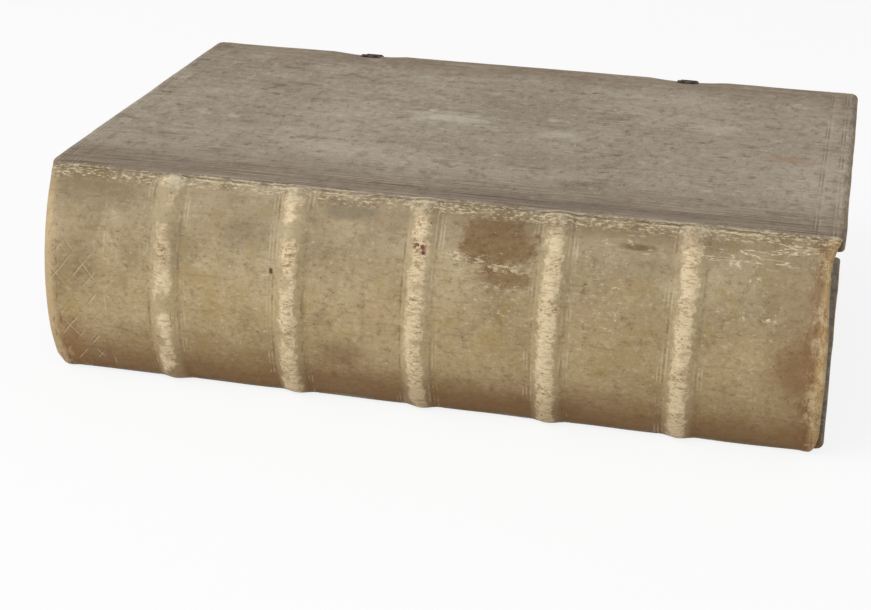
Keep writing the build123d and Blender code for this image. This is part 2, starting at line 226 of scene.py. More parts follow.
# Pastedowns. A leaf of rag paper glued inside each cover, browned and foxed with age, darker round
# its edges where the leather's turn-ins have stained it.
chain_lines = 0.025
laid_lines = 0.0011


def rag_paper(name, half_length, half_width, middle):
    """Old laid paper: chain lines, fibres, foxing and a brown tide towards the edges."""
    paper = Finish(name, specular=0.2)
    x, y, z = paper.axes()
    fibres = paper.cloud((0.004, 0.0012, 0.004), detail=4)
    chain = paper.ease(paper.sum("PINGPONG", x, chain_lines / 2), 0.0004, 0.0)
    laid = paper.sum("SINE", paper.times(y, 2 * math.pi / laid_lines))
    tone = paper.layers(
        srgb(206, 190, 152),
        (paper.cloud(0.05, detail=4), 0.35, 0.65, (188, 168, 126), 1.0),
        (fibres, 0.45, 0.75, (168, 146, 106), 0.35),
    )
    fox = paper.ease(paper.cells(0.016), 0.16, 0.02)
    tone = paper.layers(tone, (paper.cloud(0.03, shift=(5, 2, 1)), 0.52, 0.62, (146, 104, 62), 0.6), within=fox)
    tone = paper.tint(chain, tone, srgb(160, 138, 100), 0.18)
    rim = paper.sum("MINIMUM", paper.minus(half_length, paper.gap(x)), paper.minus(half_width, paper.gap(y, middle)))
    rim = paper.plus(rim, paper.times(paper.cloud(0.014, detail=4), -0.022))
    tone = paper.layers(tone, (rim, 0.012, -0.010, (138, 106, 66), 0.7))
    relief = paper.plus(fibres, paper.times(laid, 0.08))
    return paper.done(tone, 0.85, paper.bump(relief, 0.00012, 0.7))


paste_low, paste_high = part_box("back_pastedown")
paste_paper = rag_paper("pasted_paper", paste_high[0], (paste_high[1] - paste_low[1]) / 2,
                        (paste_high[1] + paste_low[1]) / 2)
for leaf in ("back_pastedown", "front_pastedown"):
    coat(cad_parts[leaf], paste_paper)


# Text block. Folded sections of rag paper sewn together, rounded at the back and hollow at the
# fore-edge. Each section is a thin slab of its own, with leaves that end unevenly.
block_low = Vector((-0.183, -0.1236, 0.009))
block_high = Vector((0.183, 0.119, 0.098))
block_middle = (block_low.z + block_high.z) / 2
block_half = (block_high.z - block_low.z) / 2
fore_edge_hollow = 0.015
back_round = 0.0196
back_flatness = 0.86
back_splay = 0.16
splay_start = -0.108
splay_run = 0.03
section_count = 22
section_cuts = (34, 14)
leaf_rows = 6
leaf_shift = (-0.0002, 0.0003)
leaf_gap = 0.00012
leaf_pinch = 0.04
fore_wave = 0.0004
end_wave = 0.00035
leaf_half_width = 0.122
leaf_middle = -0.002
bare_margin = 0.002


def deselect():
    bpy.ops.object.select_all(action="DESELECT")


def activate(piece):
    deselect()
    piece.select_set(True)
    bpy.context.view_layer.objects.active = piece


def apply_all(piece):
    """Puts a piece's place into its mesh and applies its modifiers."""
    activate(piece)
    bpy.ops.object.transform_apply(location=True, rotation=True, scale=True)
    for modifier in list(piece.modifiers):
        bpy.ops.object.modifier_apply(modifier=modifier.name)


def add_box(name, low, high):
    """A box between two corners, with its place in its mesh."""
    low, high = Vector(low), Vector(high)
    deselect()
    bpy.ops.mesh.primitive_cube_add(size=1, location=(low + high) / 2)
    piece = bpy.context.object
    piece.name = piece.data.name = name
    piece.scale = high - low
    apply_all(piece)
    return piece


def edit(piece):
    """Opens a piece's mesh with all of it selected."""
    activate(piece)
    bpy.ops.object.mode_set(mode="EDIT")
    bpy.ops.mesh.select_all(action="SELECT")


def leave():
    bpy.ops.object.mode_set(mode="OBJECT")


def pick_edges(mesh, test):
    """Selects the edges whose two ends pass a test, in edit mode."""
    bpy.ops.mesh.select_mode(type="EDGE")
    bpy.ops.mesh.select_all(action="DESELECT")
    form = bmesh.from_edit_mesh(mesh)
    for edge in form.edges:
        if test(edge.verts[0].co, edge.verts[1].co):
            edge.select_set(True)
    bmesh.update_edit_mesh(mesh)


def join(pieces, name):
    deselect()
    for piece in pieces:
        piece.select_set(True)
    bpy.context.view_layer.objects.active = pieces[0]
    bpy.ops.object.join()
    joined = bpy.context.object
    joined.name = joined.data.name = name
    return joined


def fore_edge_at(height):
    """Y of the hollow fore-edge at a height."""
    part = (height - block_middle) / block_half
    return block_high.y - fore_edge_hollow * (1 - part * part)


def back_at(height):
    """Y of the rounded back at a height."""
    part = (height - block_middle) / block_half
    return block_low.y - back_round * (1 - back_flatness * part * part)


section = add_box("section", (block_low.x, 0, 0), (block_high.x, 1, 1))
edit(section)
for axis, cuts in enumerate((*section_cuts, leaf_rows - 1)):
    pick_edges(section.data, lambda a, b: abs(a[axis] - b[axis]) > 0.1)
    bpy.ops.mesh.subdivide(number_cuts=cuts)
leave()

random.seed(7)
sections = []
section_thickness = 2 * block_half / section_count
for number in range(section_count):
    leaf = section.copy()
    leaf.data = section.data.copy()
    bpy.context.collection.objects.link(leaf)
    head_shift, fore_shift, tail_shift = (
        [random.uniform(*leaf_shift) for row in range(leaf_rows + 1)] for edge in range(3))
    outer_leaf = number in (0, section_count - 1)
    for vertex in leaf.data.vertices:
        x, along, up = vertex.co
        row = round(up * leaf_rows)
        edge_gap = 0.0 if outer_leaf else leaf_gap
        lift = up if outer_leaf else min(max(up, leaf_pinch), 1 - leaf_pinch)
        height = block_low.z + (number + lift) * section_thickness
        swing = fore_wave * noise.noise((x * 14, number * 0.7, row * 0.35))
        fore = fore_edge_at(height) - fore_shift[row] - swing - edge_gap
        back = back_at(height)
        y = back + (fore - back) * along
        splay = min(max(0.0, (splay_start - y) / splay_run), 1.0)
        vertex.co.y = y
        vertex.co.z = height + (height - block_middle) * back_splay * splay ** 2
        swing = end_wave * noise.noise((y * 14, number * 0.7 + 9, row * 0.35))
        if x > block_high.x - 0.0001:
            vertex.co.x = x - tail_shift[row] - swing
        elif x < block_low.x + 0.0001:
            vertex.co.x = x + head_shift[row] + swing
    sections.append(leaf)
bpy.data.objects.remove(section, do_unlink=True)
pages = join(sections, "pages")

stained = Finish("stained_page_edges", specular=0.25)
x, y, z = stained.axes()
leaf_lines = stained.cloud((0.05, 0.05, 0.00036), detail=3, rough=0.6)
leaf_groups = stained.cloud((0.06, 0.06, 0.0013), detail=4, rough=0.65, shift=(1, 4, 2))
open_leaves = stained.cloud((0.16, 0.16, 0.0016), detail=2, shift=(7, 7, 4))
stain_wash = stained.cloud((0.04, 0.04, 0.02), detail=5, rough=0.62, shift=(2, 2, 2))
thumbed = stained.cloud((0.006, 0.006, 0.010), detail=5, rough=0.7, shift=(5, 1, 3))
edge_tone = stained.layers(
    srgb(32, 48, 41),
    (leaf_lines, 0.30, 0.70, (64, 88, 72), 1.0),
    (stain_wash, 0.48, 0.70, (78, 92, 70), 0.45),
    (leaf_groups, 0.56, 0.70, (112, 128, 100), 0.55),
    (leaf_groups, 0.42, 0.30, (22, 34, 30), 0.6),
)
pale_leaf = stained.ease(stained.gap(open_leaves, 0.5), 0.016, 0.005)
edge_tone = stained.layers(edge_tone, (stain_wash, 0.44, 0.58, (158, 166, 136), 0.7), within=pale_leaf)
rubbed = stained.ease(thumbed, 0.56, 0.68)
edge_tone = stained.layers(edge_tone, (leaf_lines, 0.40, 0.62, (150, 160, 128), 0.6), within=rubbed)
corner_run = stained.plus(stained.minus(block_high.x, stained.gap(x)), stained.times(stain_wash, 0.030))
corner_wear = stained.times(stained.ease(corner_run, 0.030, 0.014),
                            stained.ease(stained.minus(block_high.y, y), 0.022, 0.004))
edge_tone = stained.layers(edge_tone, (leaf_groups, 0.34, 0.56, (164, 152, 108), 0.65), within=corner_wear)
edge_relief = stained.bump(leaf_lines, 0.0003, 0.9)
edge_relief = stained.bump(leaf_groups, 0.0005, 0.6, edge_relief)
page_edges = stained.done(edge_tone, 0.8, edge_relief)
page_paper = rag_paper("leaf_paper", block_high.x, leaf_half_width, leaf_middle)
coat(pages, page_edges, page_paper)
for face in pages.data.polygons:
    edge_gap = min(fore_edge_at(face.center.z) - face.center.y, block_high.x - abs(face.center.x))
    face.material_index = 1 if abs(face.normal.z) > 0.6 and edge_gap > bare_margin else 0
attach(pages, "book_block")
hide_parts("text_block")


# Endbands. A thin core at each end of the back, wound closely with two colours of thread and tied down
# through the sections.
endband_radius = 0.0014
endband_place = 0.1842
endband_arc = Vector((0.0, -0.0484, 0.0535))
endband_reach = 0.0936
endband_angle = math.radians(27.5)
thread_turns = 64
thread_swell = 0.12
core_sides = 12
steps_per_turn = 3


def face_outwards(piece):
    edit(piece)
    bpy.ops.mesh.normals_make_consistent(inside=False)
    leave()


def on_endband(place, reach, angle):
    """A point at a reach and an angle round the middle of the endband's arc."""
    return Vector((place, endband_arc.y - reach * math.cos(angle), endband_arc.z - reach * math.sin(angle)))


wound = Finish("wound_thread", specular=0.2)
thread_tone = wound.layers(
    srgb(196, 178, 136),
    (wound.attribute("thread"), 0.45, 0.55, (84, 96, 98), 1.0),
    (wound.cloud(0.008, detail=4), 0.45, 0.70, (120, 96, 64), 0.6),
)
wound_thread = wound.done(thread_tone, 0.8, wound.bump(wound.cloud(0.0006, detail=3), 0.0002, 0.6))
for name, side in (("head_endband", -1), ("tail_endband", 1)):
    deselect()
    bpy.ops.mesh.primitive_circle_add(vertices=core_sides, radius=endband_radius, fill_type="NOTHING")
    band = bpy.context.object
    band.name = band.data.name = name + "_wound"
    place = side * endband_place
    for vertex in band.data.vertices:
        u, v = vertex.co.x, vertex.co.y
        vertex.co = on_endband(place + u, endband_reach + v, endband_angle)
    edit(band)
    bpy.ops.mesh.spin(steps=thread_turns * steps_per_turn, angle=2 * endband_angle, axis=(1, 0, 0),
                      center=(place, endband_arc.y, endband_arc.z), use_normal_flip=False)
    leave()
    runs = band.data.attributes.new("thread", "FLOAT", "POINT")
    for vertex in band.data.vertices:
        angle = math.atan2(endband_arc.z - vertex.co.z, endband_arc.y - vertex.co.y)
        turn = (angle + endband_angle) / (2 * endband_angle) * thread_turns
        middle = on_endband(place, endband_reach, angle)
        vertex.co = middle + (vertex.co - middle) * (1.0 + thread_swell * math.cos(2 * math.pi * turn))
        runs.data[vertex.index].value = 1.0 if int(turn + 0.5) % 4 < 2 else 0.0
    edit(band)
    bpy.ops.mesh.select_all(action="DESELECT")
    bpy.ops.mesh.select_non_manifold()
    bpy.ops.mesh.edge_face_add()
    leave()
    face_outwards(band)
    bpy.ops.object.shade_smooth_by_angle(angle=math.radians(60))
    coat(band, wound_thread)
    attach(band, "book_block")
    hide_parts(name)


# Covering leather of the boards. Calf pasted over each board and turned in on three sides, with blind
# lines pressed along its edges. Its scoops make room for the clasps.
cover_half_length = 0.190
cover_joint = -0.125
cover_fore_edge = 0.125
book_height = 0.107
cover_depth = 0.0085
turn_in = 0.022
hinge_half_length = 0.1835
fore_corner = 0.005
joint_corner = 0.0039
outer_rounding = 0.0030
inner_rounding = 0.0010
rounding_depth = 0.0032
edge_lines = (0.0048, 0.0062, 0.0132, 0.0146)
joint_lines = (0.0075, 0.0100, 0.0205)
line_width = 0.0006
line_depth = 0.00024
skin_thickness = 0.0006
skin_step = 0.0045
joint_steps = (0.0004, 0.0012, 0.003)
joint_calm = 0.004
slow_relief = 0.00022
dent_relief = 0.00009
edge_swing = 0.0004
edge_swing_reach = 0.0025
edge_inset = 0.0002
clasp_places = (-0.094, 0.094)
scoop_depth = 0.0014
scoop_reach = 0.024
scoop_radius = 0.1896


def cut_at(places, axis):
    """Cuts the whole mesh in edit mode by planes across an axis."""
    normal = Vector((0, 0, 0))
    normal[axis] = 1
    for place in places:
        bpy.ops.mesh.select_all(action="SELECT")
        bpy.ops.mesh.bisect(plane_co=normal * place, plane_no=normal)


def spread(low, high, step):
    """Even places between two ends."""
    count = max(1, round((high - low) / step))
    return [low + (high - low) * i / count for i in range(1, count)]


def groove(distance, width):
    """Depth of a pressed line, from 1 in its middle to 0 beside it."""
    return max(0.0, 1 - (abs(distance) / width) ** 2)


def hide_relief(x, y, seed):
    """Slow unevenness and small dents of old leather over a board."""
    slow = noise.noise((x * 22, y * 22, seed)) * slow_relief
    dents = noise.noise((x * 110, y * 150, seed + 3)) * dent_relief
    return slow + dents


def drop_faces(mesh, test):
    """Deletes the faces whose middle passes a test, in edit mode."""
    bpy.ops.mesh.select_mode(type="FACE")
    bpy.ops.mesh.select_all(action="DESELECT")
    form = bmesh.from_edit_mesh(mesh)
    for face in form.faces:
        if test(face.calc_center_median(), face.normal):
            face.select_set(True)
    bmesh.update_edit_mesh(mesh)
    bpy.ops.mesh.delete(type="FACE")


def thicken(skin, thickness, angle):
    """Gives a skin its thickness, inwards, and smooths what is flatter than an angle."""
    thick = skin.modifiers.new("leather", "SOLIDIFY")
    thick.thickness = thickness
    thick.offset = -1
    apply_all(skin)
    bpy.ops.object.shade_smooth_by_angle(angle=math.radians(angle))


def board_skin(name, outer, inner, openings):
    """The leather of one board as a thin skin, from its outer face to its turned-in inner face."""
    side = 1 if outer > inner else -1
    skin = add_box(name, (-cover_half_length, cover_joint, min(outer, inner)),
                   (cover_half_length, cover_fore_edge, max(outer, inner)))
    on_joint = lambda point: point.y < cover_joint + 1e-5
    edit(skin)
    pick_edges(skin.data, lambda a, b: abs(a.z - b.z) > 0.001 and a.y > 0)
    bpy.ops.mesh.bevel(offset=fore_corner, segments=5)
    pick_edges(skin.data, lambda a, b: abs(a.z - b.z) > 0.001 and on_joint(a))
    bpy.ops.mesh.bevel(offset=joint_corner, segments=6)
    for height, rounding, segments in ((outer, outer_rounding, 5), (inner, inner_rounding, 2)):
        pick_edges(skin.data, lambda a, b: abs(a.z - height) + abs(b.z - height) < 1e-5
                   and not (on_joint(a) and on_joint(b)))
        bpy.ops.mesh.bevel(offset=rounding, segments=segments)
    beside = (-line_width, 0, line_width)
    across = [edge * (cover_half_length - line + shift) for edge in (-1, 1) for line in edge_lines for shift in beside]
    cut_at(spread(-cover_half_length, cover_half_length, skin_step) + across, 0)
    down = [cover_fore_edge - line + shift for line in edge_lines for shift in beside]
    down += [cover_joint + line + shift for line in joint_lines for shift in beside]
    down += [cover_joint + step for step in joint_steps]
    cut_at(spread(cover_joint, cover_fore_edge, skin_step) + down, 1)
    cut_at([-cover_half_length + turn_in, cover_half_length - turn_in], 0)
    cut_at([cover_fore_edge - turn_in], 1)
    drop_faces(skin.data, lambda middle, normal: normal.z * side < -0.9
               and abs(middle.x) < cover_half_length - turn_in and middle.y < cover_fore_edge - turn_in)
    cut_at([-hinge_half_length, hinge_half_length], 0)
    drop_faces(skin.data, lambda middle, normal: middle.y < cover_joint + 1e-4 and abs(middle.x) < hinge_half_length)
    for low, high in openings:
        for axis in range(3):
            cut_at([low[axis], high[axis]], axis)
        drop_faces(skin.data, lambda middle, normal: all(
            low[axis] < middle[axis] < high[axis] for axis in range(3)))
    bpy.ops.mesh.select_all(action="SELECT")
    bpy.ops.mesh.remove_doubles(threshold=0.00002)
    leave()
    runs = skin.data.attributes.new("run", "FLOAT", "POINT")
    for vertex in skin.data.vertices:
        x, y, z = vertex.co
        run = y - cover_joint
        runs.data[vertex.index].value = run if side > 0 else -back_length - run
        top = max(0.0, 1 - abs(z - outer) / rounding_depth)
        ends = cover_half_length - abs(x)
        lines = max([groove(ends - line, line_width) for line in edge_lines]
                    + [groove(cover_fore_edge - y - line, line_width) for line in edge_lines if ends > line - 0.001]
                    + [groove(run - line, line_width) for line in joint_lines])
        worn = 0.55 + 0.6 * noise.noise((x * 30, y * 30, 4.0 + outer))
        fall = max(max(0.0, scoop_depth * (y - cover_fore_edge + scoop_reach) / scoop_reach
                       - (x - place) ** 2 / (2 * scoop_radius)) for place in clasp_places)
        still = min(1.0, run / joint_calm)
        sink = fall + (lines * line_depth * max(0.25, min(1.0, worn)) - hide_relief(x, y, outer * 50)) * still
        vertex.co.z -= side * top * sink
        swing = noise.noise((x * 35, y * 35, 7.0 + z * 90)) * edge_swing * still - edge_inset
        if y > cover_fore_edge - edge_swing_reach:
            vertex.co.y += swing
        if ends < edge_swing_reach:
            vertex.co.x += math.copysign(swing, x)
    thicken(skin, skin_thickness, 50)
    return skin


# Rounded back. One skin from joint to joint, damped and worked down over the five cords so that they
# stand up as bands, then folded in over the endbands as a cap at the head and the tail.
back_half_length = 0.1876
back_radius = 0.09666
back_swell = 0.020
shoulder_radius = 0.007
back_centre = Vector((0.0, cover_joint - back_swell + back_radius, book_height / 2))
shoulder_angle = math.atan2(book_height / 2 - shoulder_radius, back_centre.y - cover_joint)
shoulder_run = shoulder_radius * (math.pi / 2 - shoulder_angle)
arc_run = 2 * back_radius * shoulder_angle
back_length = 2 * shoulder_run + arc_run
back_skin_thickness = 0.0009
band_pitch = 0.0623
band_places = [band_pitch * number for number in (-2, -1, 0, 1, 2)]
band_lean = (0.0008, 0.0012)
band_lean_run = 0.110
band_half_width = 0.0082
band_height = 0.0032
band_fade = 0.0105
band_sway = 0.0005
band_pits = 0.00022
band_line_gaps = (0.0080, 0.0096)
band_line_width = 0.0006
band_line_depth = 0.00022
band_zone = (0.0126, 0.0102)
fine_step = 0.0009
wide_step = 0.0024
run_step = 0.0010
hide_waves = (0.00035, 0.00013)
cap_lip = 0.0017
cap_turn = 0.0032
cap_lip_steps = 6
cap_turn_steps = 4
cap_draw_in = 0.00025
cap_swell = 0.0005
cap_swell_place = 0.003
cap_swell_width = 0.0022
cap_fade = 0.016
cap_pull = 0.018
cap_shapes = {
    -1: ((0.0, 0.1838), (0.006, 0.1862), (0.013, 0.1880), (0.031, 0.1880), (0.060, 0.1875), (0.108, 0.1872),
         (0.12, 0.1876)),
    1: ((0.0, 0.1844), (0.007, 0.1862), (0.015, 0.1876), (0.050, 0.1878), (0.069, 0.1873), (0.087, 0.1859),
        (0.100, 0.1853), (0.106, 0.1856), (0.1105, 0.1868), (0.115, 0.1882), (0.12, 0.1894)),
}


def back_point(run):
    """Y, Z and outward direction on the rounded back, at a run from the back cover's joint."""
    if run < shoulder_run:
        angle = -math.pi / 2 - run / shoulder_radius
        centre_y, centre_z, radius = cover_joint, shoulder_radius, shoulder_radius
    elif run < shoulder_run + arc_run:
        angle = math.pi + shoulder_angle - (run - shoulder_run) / back_radius
        centre_y, centre_z, radius = back_centre.y, back_centre.z, back_radius
    else:
        angle = math.pi / 2 + (back_length - run) / shoulder_radius
        centre_y, centre_z, radius = cover_joint, book_height - shoulder_radius, shoulder_radius
    out = Vector((0.0, math.cos(angle), math.sin(angle)))
    return Vector((0.0, centre_y, centre_z)) + out * radius, out


def ease(value):
    value = min(1.0, max(0.0, value))
    return value * value * (3 - 2 * value)


def lean(run):
    """How far the bands have slipped towards the head, more so lower down."""
    return band_lean[0] + (band_lean[1] - band_lean[0]) * ease((back_length - run) / band_lean_run)


def cap_end(side, run):
    """Where the worn cap ends along the book, at a run from the back cover's joint."""
    for (start, low), (stop, high) in zip(cap_shapes[side], cap_shapes[side][1:]):
        if run <= stop:
            return low + (high - low) * (run - start) / (stop - start)
    return high


def band_rise(x, run):
    """Height of the nearest raised band, which sinks to nothing at the joints."""
    x += lean(run)
    place = min(band_places, key=lambda middle: abs(x - middle))
    sway = band_sway * noise.noise((run * 25, place * 40, 3.0))
    gap = abs(x - place - sway) / band_half_width
    if gap >= 1:
        return 0.0
    swell = math.cos(math.pi / 2 * gap) ** 1.35
    fade = ease(min(run, back_length - run) / band_fade)
    worn = 1 - 0.10 * (0.5 + noise.noise((x * 60, run * 90, 2.0)))
    pits = band_pits * swell ** 3 * max(0.0, noise.noise((x * 110, run * 380, 8.0)))
    return (band_height * swell * worn - pits) * fade


def line_beside_band(x, run):
    """Depth of the double lines pressed beside each band, from 0 to 1."""
    gap = min(abs(x + lean(run) - place) for place in band_places)
    return max(groove(gap - line, band_line_width) for line in band_line_gaps)


# Places along the book, each with its depth under the lip, and across the back
stops = [-back_half_length + cap_lip]
for place in band_places:
    stops += [place - band_zone[0], place + band_zone[1]]
stops.append(back_half_length - cap_lip)
steps_x = []
for start, stop in zip(stops, stops[1:]):
    step = fine_step if stop - start < sum(band_zone) + 0.0001 else wide_step
    steps_x += [(value, 0.0) for value in [start] + spread(start, stop, step)]
for i in range(cap_lip_steps + 1):
    turn = math.pi / 2 * i / cap_lip_steps
    steps_x.append((back_half_length - cap_lip + cap_lip * math.sin(turn), cap_lip * (1 - math.cos(turn))))
for i in range(1, cap_turn_steps + 1):
    steps_x.append((back_half_length - cap_draw_in * i * (i - 1) / 6,
                    cap_lip + (cap_turn - cap_lip) * i / cap_turn_steps))
mirrored = [(-x, inset) for x, inset in steps_x[::-1] if x > back_half_length - cap_lip + 1e-6]
steps_x = mirrored + steps_x
steps_run = [0.0, joint_steps[0], run_step]
steps_run += spread(run_step, back_length - run_step, run_step)
steps_run += [back_length - run_step, back_length - joint_steps[0], back_length]

deselect()
bpy.ops.mesh.primitive_grid_add(x_subdivisions=len(steps_x) - 1, y_subdivisions=len(steps_run) - 1, size=1)
spine = bpy.context.object
spine.name = spine.data.name = "spine_skin"
runs = spine.data.attributes.new("run", "FLOAT", "POINT")
for vertex in spine.data.vertices:
    x, inset = steps_x[round((vertex.co.x + 0.5) * (len(steps_x) - 1))]
    run = steps_run[round((vertex.co.y + 0.5) * (len(steps_run) - 1))]
    point, out = back_point(run)
    near_joint = min(run, back_length - run)
    still = ease(near_joint / joint_calm)
    pressed = line_beside_band(x, run) * (0.6 + 0.5 * noise.noise((x * 50, run * 50, 1.0)))
    end_gap = back_half_length - abs(x)
    rise = (noise.noise((x * 30, run * 34, 5.0)) * hide_waves[0] + noise.noise((x * 45, run * 190, 6.0)) * hide_waves[1]
            + cap_swell * math.exp(-((end_gap - cap_swell_place) / cap_swell_width) ** 2) - band_line_depth * pressed)
    rise = band_rise(x, run) + rise * still
    depth = inset if inset <= cap_lip else cap_lip + (inset - cap_lip) * max(0.35, ease(near_joint / cap_fade))
    side = -1 if x < 0 else 1
    drawn = (cap_end(side, run) - back_half_length) * ease((cap_pull - end_gap) / cap_pull)
    vertex.co = point + out * (rise - depth) + Vector((x + side * drawn, 0, 0))
    runs.data[vertex.index].value = run - back_length
face_outwards(spine)
outermost = min(spine.data.polygons, key=lambda face: face.center.y)
if outermost.normal.y > 0:
    edit(spine)
    bpy.ops.mesh.flip_normals()
    leave()
thicken(spine, back_skin_thickness, 60)
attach(spine, "book_block")
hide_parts("spine_leather")

# Openings round a clasp's middle: the strap's seat and notch in the back cover, the hook's window in the front
strap_seat = ((-0.0151, 0.0914, -0.001), (0.0151, 0.126, 0.0026))
strap_notch = ((-0.0165, 0.1230, -0.001), (0.0165, 0.126, 0.0095))
hook_window = ((-0.0042, 0.1235, 0.1005), (0.0042, 0.1265, 0.1033))


def at_clasps(*boxes):
    """Boxes given from a clasp's middle, at each of the clasps."""
    return [tuple((place + x, y, z) for x, y, z in box) for place in clasp_places for box in boxes]


back_skin = board_skin("back_skin", 0.0, cover_depth, at_clasps(strap_seat, strap_notch))
front_skin = board_skin("front_skin", book_height, book_height - cover_depth, at_clasps(hook_window))
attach(back_skin, "back_cover")
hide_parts("back_leather")
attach(front_skin, "front_cover")
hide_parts("front_leather")

# One old skin, so one finish: grey-brown and scuffed on the boards, yellowed and rubbed on the back.
# The run is the distance from the front joint across the leather, below zero on the back.
calf = Finish("old_calf", specular=0.3)
x, y, z = calf.axes()
run = calf.attribute("run")
grain = calf.cloud(0.0011, detail=4, rough=0.6)
pores = calf.cells(0.0009)
mottle = calf.cloud(0.006, detail=6, rough=0.68)
fine = calf.cloud((0.0026, 0.0019, 0.0019), detail=5, rough=0.75, shift=(2, 5, 8))
smudge = calf.cloud(0.015, detail=5, rough=0.62, shift=(6, 2, 9))


def near(distance, places, width):
    """Mask of thin lines at set distances."""
    mask = None
    for place in places:
        line = calf.ease(calf.gap(distance, place), width, width * 0.25)
        mask = line if mask is None else calf.either(mask, line)
    return mask


def broken(mask, sizes, low, high, shift):
    """A mask with parts worn away."""
    return calf.times(mask, calf.ease(calf.cloud(sizes, detail=5, rough=0.68, shift=shift), low, high))


def worn_away(tone, *rows):
    """Lays colours over a tone, each by a mask with parts worn away and up to a strength."""
    for mask, sizes, low, high, shift, colour, strength in rows:
        tone = calf.tint(broken(mask, sizes, low, high, shift), tone, srgb(*colour), strength)
    return tone


def shifted(value, pattern, reach):
    """A distance made uneven by a pattern."""
    return calf.plus(value, calf.times(calf.minus(pattern, 0.5), reach))


def spot(middle_x, middle_run, half_x, half_run, soft=0.5, uneven=1.6):
    """Mask of a squarish stain with a broken edge, placed along the back and across from the front joint."""
    across = calf.sum("DIVIDE", calf.minus(x, middle_x), half_x)
    down = calf.sum("DIVIDE", calf.minus(run, middle_run), half_run)
    far = calf.plus(calf.sum("POWER", calf.gap(across), 3.0), calf.sum("POWER", calf.gap(down), 3.0))
    return calf.ease(shifted(calf.sum("POWER", far, 1 / 3), mottle, uneven), 1 + soft / 2, 1 - soft)


def spotted(tone, *rows, uneven=1.6):
    """Lays stains over a tone, each with its middle, half size, softness, colour and strength."""
    for *place, soft, colour, strength in rows:
        tone = calf.tint(spot(*place, soft, uneven), tone, srgb(*colour), strength)
    return tone


# Boards: rubbed along the grain, darker towards the joint and the fore-edge, with blind lines
streaks = calf.cloud((0.045, 0.0018, 0.012), detail=5, rough=0.7)
hairs = calf.cloud((0.020, 0.0010, 0.010), detail=4, rough=0.7, shift=(5, 1, 2))
patches = calf.cloud((0.020, 0.016, 0.016), detail=5, rough=0.62, shift=(3, 3, 1))
blots = calf.cloud((0.0042, 0.0070, 0.0070), detail=6, rough=0.72, shift=(4, 6, 6))
specks = calf.cloud((0.0019, 0.0034, 0.0034), detail=4, rough=0.7, shift=(9, 2, 2))
scuffs = calf.cloud((0.012, 0.009, 0.02), detail=6, rough=0.74, shift=(8, 1, 4))
joint_streaks = calf.cloud((0.07, 0.0011, 0.012), detail=4, rough=0.7, shift=(1, 1, 6))
cover_tone = calf.layers(
    srgb(149, 135, 115),
    (calf.cloud((0.10, 0.06, 0.06), detail=4), 0.36, 0.64, (170, 157, 137), 1.0),
    (streaks, 0.52, 0.74, (116, 101, 84), 0.35),
    (streaks, 0.45, 0.26, (188, 176, 157), 0.3),
    (x, 0.03, 0.13, (184, 170, 146), 0.28),
    (patches, 0.52, 0.70, (122, 104, 84), 0.7),
    (patches, 0.42, 0.28, (192, 180, 159), 0.65),
    (blots, 0.52, 0.68, (102, 87, 70), 0.65),
    (blots, 0.45, 0.30, (198, 187, 167), 0.55),
    (specks, 0.55, 0.72, (92, 78, 63), 0.5),
    (specks, 0.42, 0.28, (204, 193, 174), 0.45),
    (hairs, 0.56, 0.70, (104, 90, 74), 0.35),
    (hairs, 0.42, 0.30, (196, 185, 166), 0.35),
)
for angle, shift in ((-50, (3, 7, 0)), (-64, (1, 2, 0)), (38, (6, 4, 0))):
    scratches = calf.cloud((0.05, 0.0010, 0.05), detail=3, turn=(0, 0, math.radians(angle)), shift=shift)
    cover_tone = calf.layers(cover_tone, (scratches, 0.60, 0.72, (204, 194, 176), 0.65),
                             within=calf.ease(patches, 0.40, 0.58))
    cover_tone = calf.layers(cover_tone, (scratches, 0.38, 0.29, (100, 86, 71), 0.55),
                             within=calf.ease(patches, 0.62, 0.44))
cover_tone = calf.layers(
    cover_tone,
    (scuffs, 0.60, 0.68, (82, 69, 58), 0.65),
    (scuffs, 0.36, 0.30, (204, 192, 172), 0.65),
)
cover_run = calf.minus(calf.gap(run, -back_length / 2), back_length / 2)
joint_shade = calf.ease(shifted(cover_run, patches, 0.03), 0.052, 0.006)
cover_tone = calf.tint(joint_shade, cover_tone, srgb(124, 106, 86), 0.5)
cover_tone = calf.layers(
    cover_tone,
    (joint_streaks, 0.52, 0.62, (80, 64, 52), 0.75),
    (joint_streaks, 0.43, 0.34, (196, 183, 164), 0.7),
    (x, -0.06, -0.16, (110, 95, 80), 0.35),
    within=joint_shade,
)
cover_tone = calf.layers(cover_tone, (shifted(y, patches, 0.03), 0.080, 0.112, (128, 105, 84), 0.45))
end_run = calf.minus(cover_half_length, calf.gap(x))
fore_run = calf.minus(cover_fore_edge, y)
line_ridges = (0.0036, 0.0055, 0.0120, 0.0139)
lines, ridges = (calf.either(near(end_run, places, line_width), near(fore_run, places, line_width))
                 for places in (edge_lines, line_ridges))
lines = calf.either(lines, near(cover_run, joint_lines, line_width))
tail_rim = calf.times(calf.ease(end_run, 0.0050, 0.0020), calf.ease(x, 0.0, 0.1))
cover_tone = worn_away(
    cover_tone,
    (lines, 0.02, 0.42, 0.60, (1, 9, 2), (92, 72, 58), 0.5),
    (ridges, 0.016, 0.42, 0.60, (4, 2, 2), (196, 184, 164), 0.3),
    (tail_rim, (0.002, 0.012, 0.012), 0.46, 0.60, (1, 1, 8), (104, 78, 62), 0.6),
)
rim_tone = calf.layers(
    srgb(180, 150, 108),
    (smudge, 0.36, 0.62, (138, 112, 82), 1.0),
    (mottle, 0.54, 0.66, (112, 66, 42), 0.7),
    (fine, 0.54, 0.68, (92, 66, 46), 0.6),
    (fine, 0.42, 0.30, (214, 188, 146), 0.5),
)
